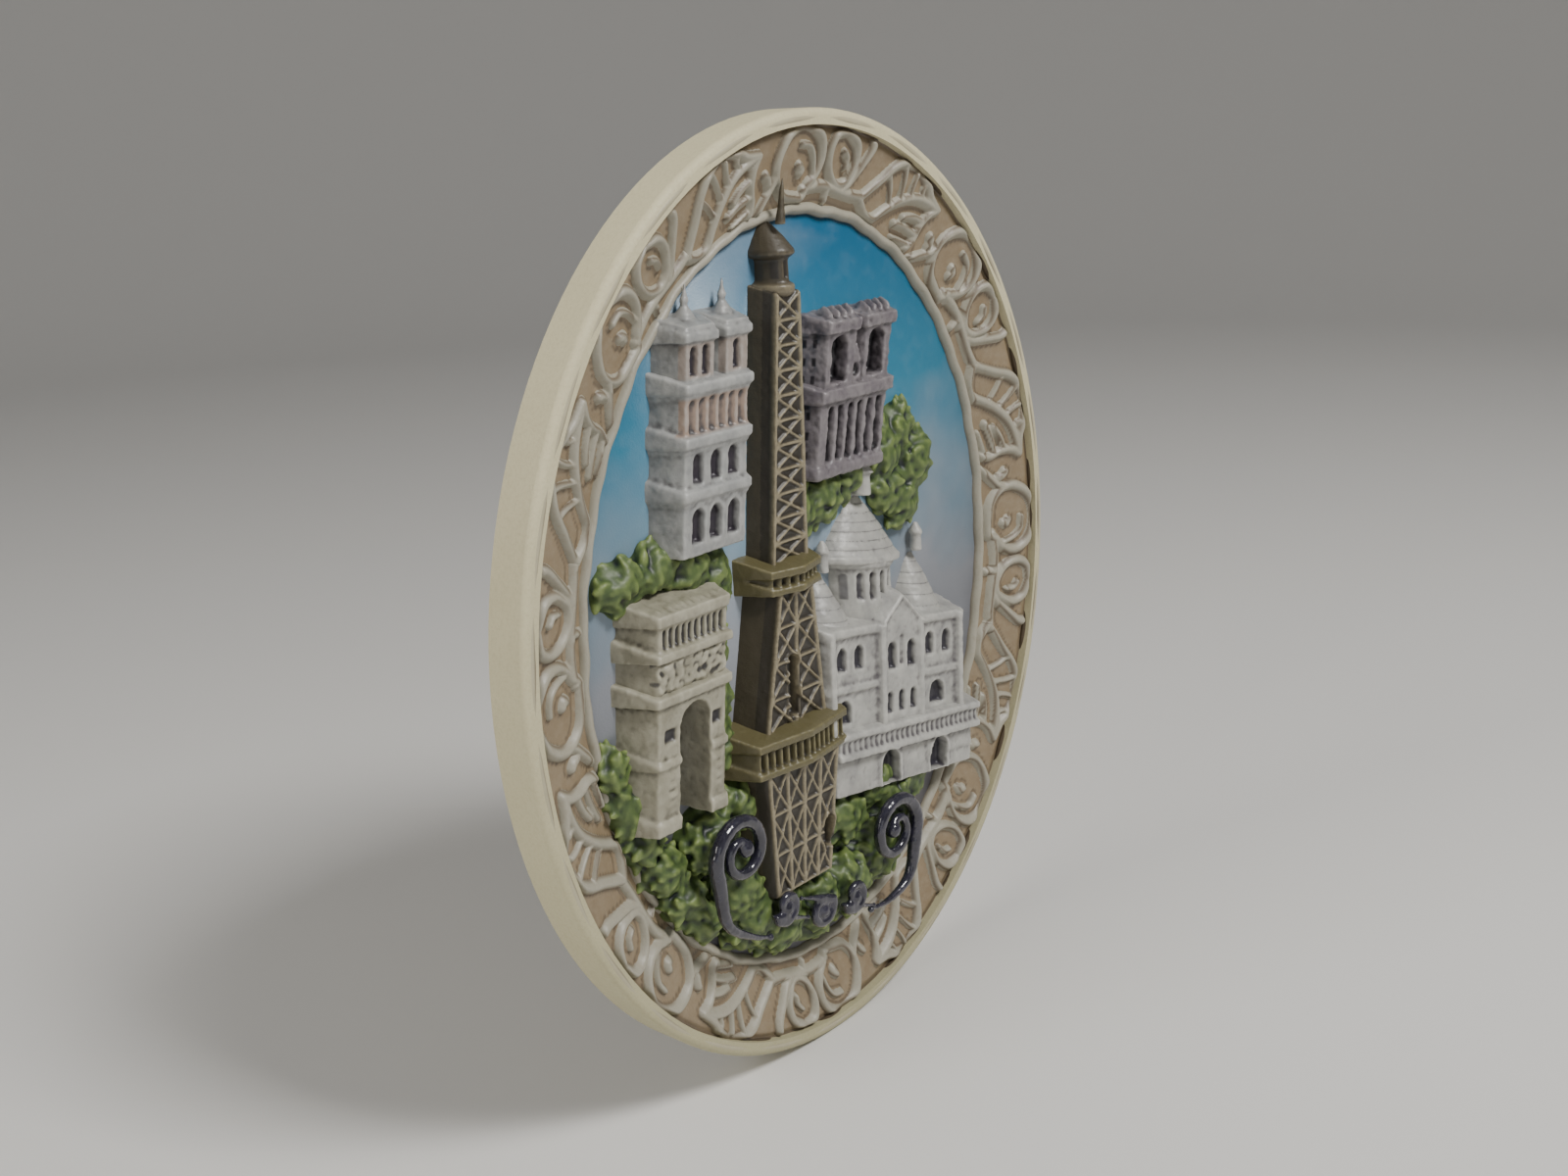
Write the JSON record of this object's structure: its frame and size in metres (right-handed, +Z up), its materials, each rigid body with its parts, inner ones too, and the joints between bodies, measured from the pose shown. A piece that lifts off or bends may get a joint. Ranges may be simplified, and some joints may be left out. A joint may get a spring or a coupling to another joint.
{
  "type": "souvenir plate",
  "caption": "Small oval relief plate with a scrollwork border, a painted sky and a townscape of landmarks round a lattice tower, with disc magnets set flush in its flat back.",
  "frame": {"origin": "middle of the flat back, at the centre of the outer oval", "axes": "+Z up along the oval's long axis, the decorated front faces -Y, the flat back faces +Y, +X to the right seen from the front"},
  "size_m": [0.085, 0.0082, 0.1],
  "materials": {
    "cream_body": "matt speckled pale yellow-cream paint on cast resin",
    "tan_border": "matt tan paint with a brown wash",
    "grey_cream_scrollwork": "matt grey-cream paint, dry-brushed",
    "blue_sky": "airbrushed blue fading to white",
    "khaki_tower": "dark khaki paint dry-brushed with beige",
    "warm_stone_paint": "warm cream-grey paint",
    "white_stone_paint": "off-white paint with grey shading",
    "purple_grey_paint": "purple-grey paint",
    "green_foliage": "mid green paint, dry-brushed yellow-green",
    "slate_gloss": "glossy dark slate glaze",
    "ferrite": "dull dark grey sintered ferrite",
    "glue": "cured epoxy"
  },
  "bodies": {
    "root": {"arch_attic": "warm_stone_paint", "arch_frieze": "warm_stone_paint", "arch_piers": "warm_stone_paint", "basilica_drum": "white_stone_paint", "basilica_left_dome": "white_stone_paint", "basilica_main_dome": "white_stone_paint", "basilica_right_dome": "white_stone_paint", "basilica_terrace": "white_stone_paint", "basilica_walls": "white_stone_paint", "border_ring": "tan_border", "border_scroll_1": "grey_cream_scrollwork", "border_scroll_2": "grey_cream_scrollwork", "border_scroll_3": "grey_cream_scrollwork", "border_scroll_4": "grey_cream_scrollwork", "border_scroll_5": "grey_cream_scrollwork", "border_scroll_6": "grey_cream_scrollwork", "border_scroll_7": "grey_cream_scrollwork", "border_scroll_8": "grey_cream_scrollwork", "cathedral_nave": "purple_grey_paint", "cathedral_tower_left": "purple_grey_paint", "cathedral_tower_right": "purple_grey_paint", "church_body": "white_stone_paint", "church_tower_left": "white_stone_paint", "church_tower_right": "white_stone_paint", "foliage_bank": "green_foliage", "foliage_lower_left": "green_foliage", "foliage_middle": "green_foliage", "foliage_right": "green_foliage", "foliage_upper_left": "green_foliage", "glue_lower": "glue", "glue_upper": "glue", "magnet_lower": "ferrite", "magnet_upper": "ferrite", "ornament_curl_1": "slate_gloss", "ornament_curl_2": "slate_gloss", "ornament_curl_3": "slate_gloss", "ornament_curl_4": "slate_gloss", "ornament_curl_5": "slate_gloss", "oval_body": "cream_body", "sky_bead": "grey_cream_scrollwork", "sky_panel": "blue_sky", "tower_base": "khaki_tower", "tower_cabin": "khaki_tower", "tower_first_deck": "khaki_tower", "tower_lower_shaft": "khaki_tower", "tower_second_deck": "khaki_tower", "tower_spire": "khaki_tower", "tower_upper_shaft": "khaki_tower"}
  },
  "joints": []
}
